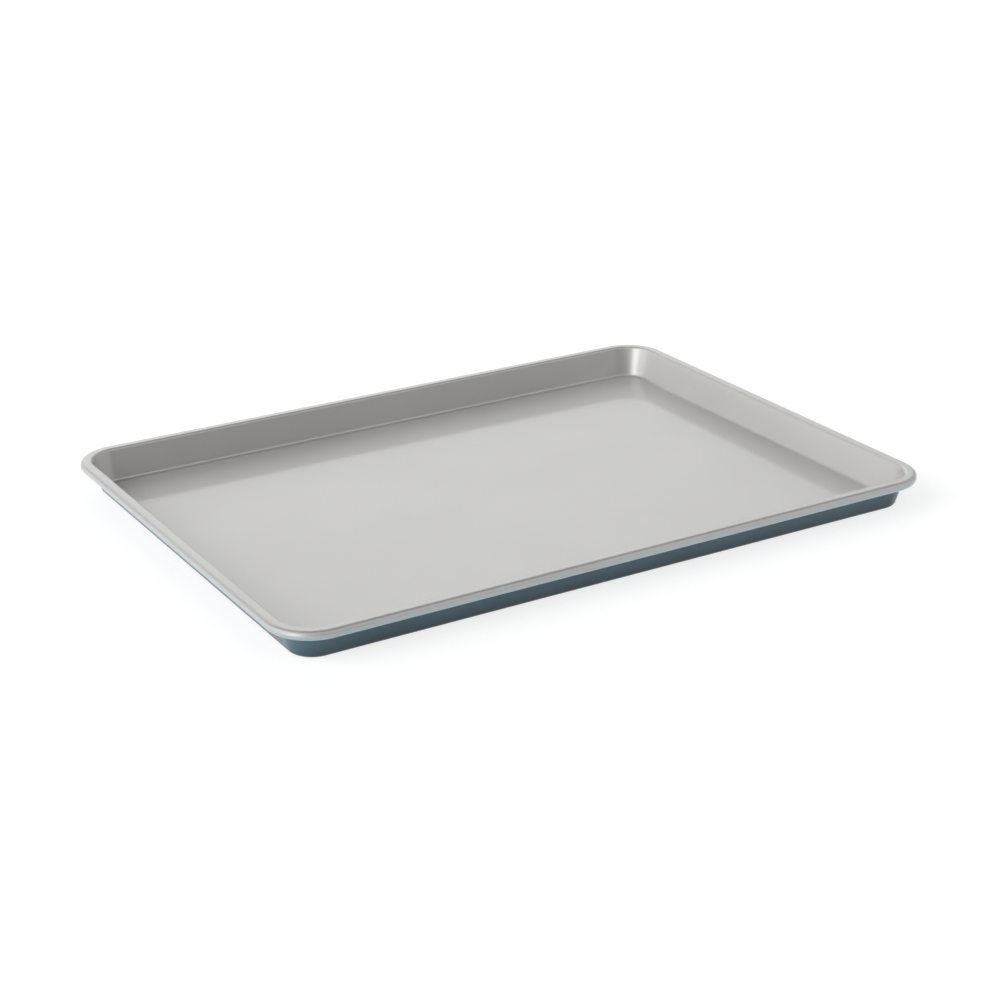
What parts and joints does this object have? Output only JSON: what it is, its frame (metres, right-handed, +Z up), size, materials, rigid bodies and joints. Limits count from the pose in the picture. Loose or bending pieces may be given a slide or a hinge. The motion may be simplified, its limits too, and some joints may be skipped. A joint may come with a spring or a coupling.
{
  "type": "jelly roll pan",
  "caption": "Shallow rectangular baking tray with sloped walls, rounded corners and a wire-reinforced rolled rim, for thin sheet cakes.",
  "frame": {"origin": "middle of the flat underside, on the surface that the pan stands on", "axes": "+X along the long sides, +Y across to the back long side, +Z up out of the open tray"},
  "size_m": [0.45, 0.33, 0.0215],
  "materials": {
    "silver_finish": "satin silver release finish on steel sheet, inside and on the rim",
    "wire_steel": "plain drawn steel wire",
    "slate_finish": "satin slate blue finish on the outside below the rim"
  },
  "bodies": {
    "root": {"pan_body": "silver_finish", "rim_wire": "wire_steel"}
  },
  "joints": []
}
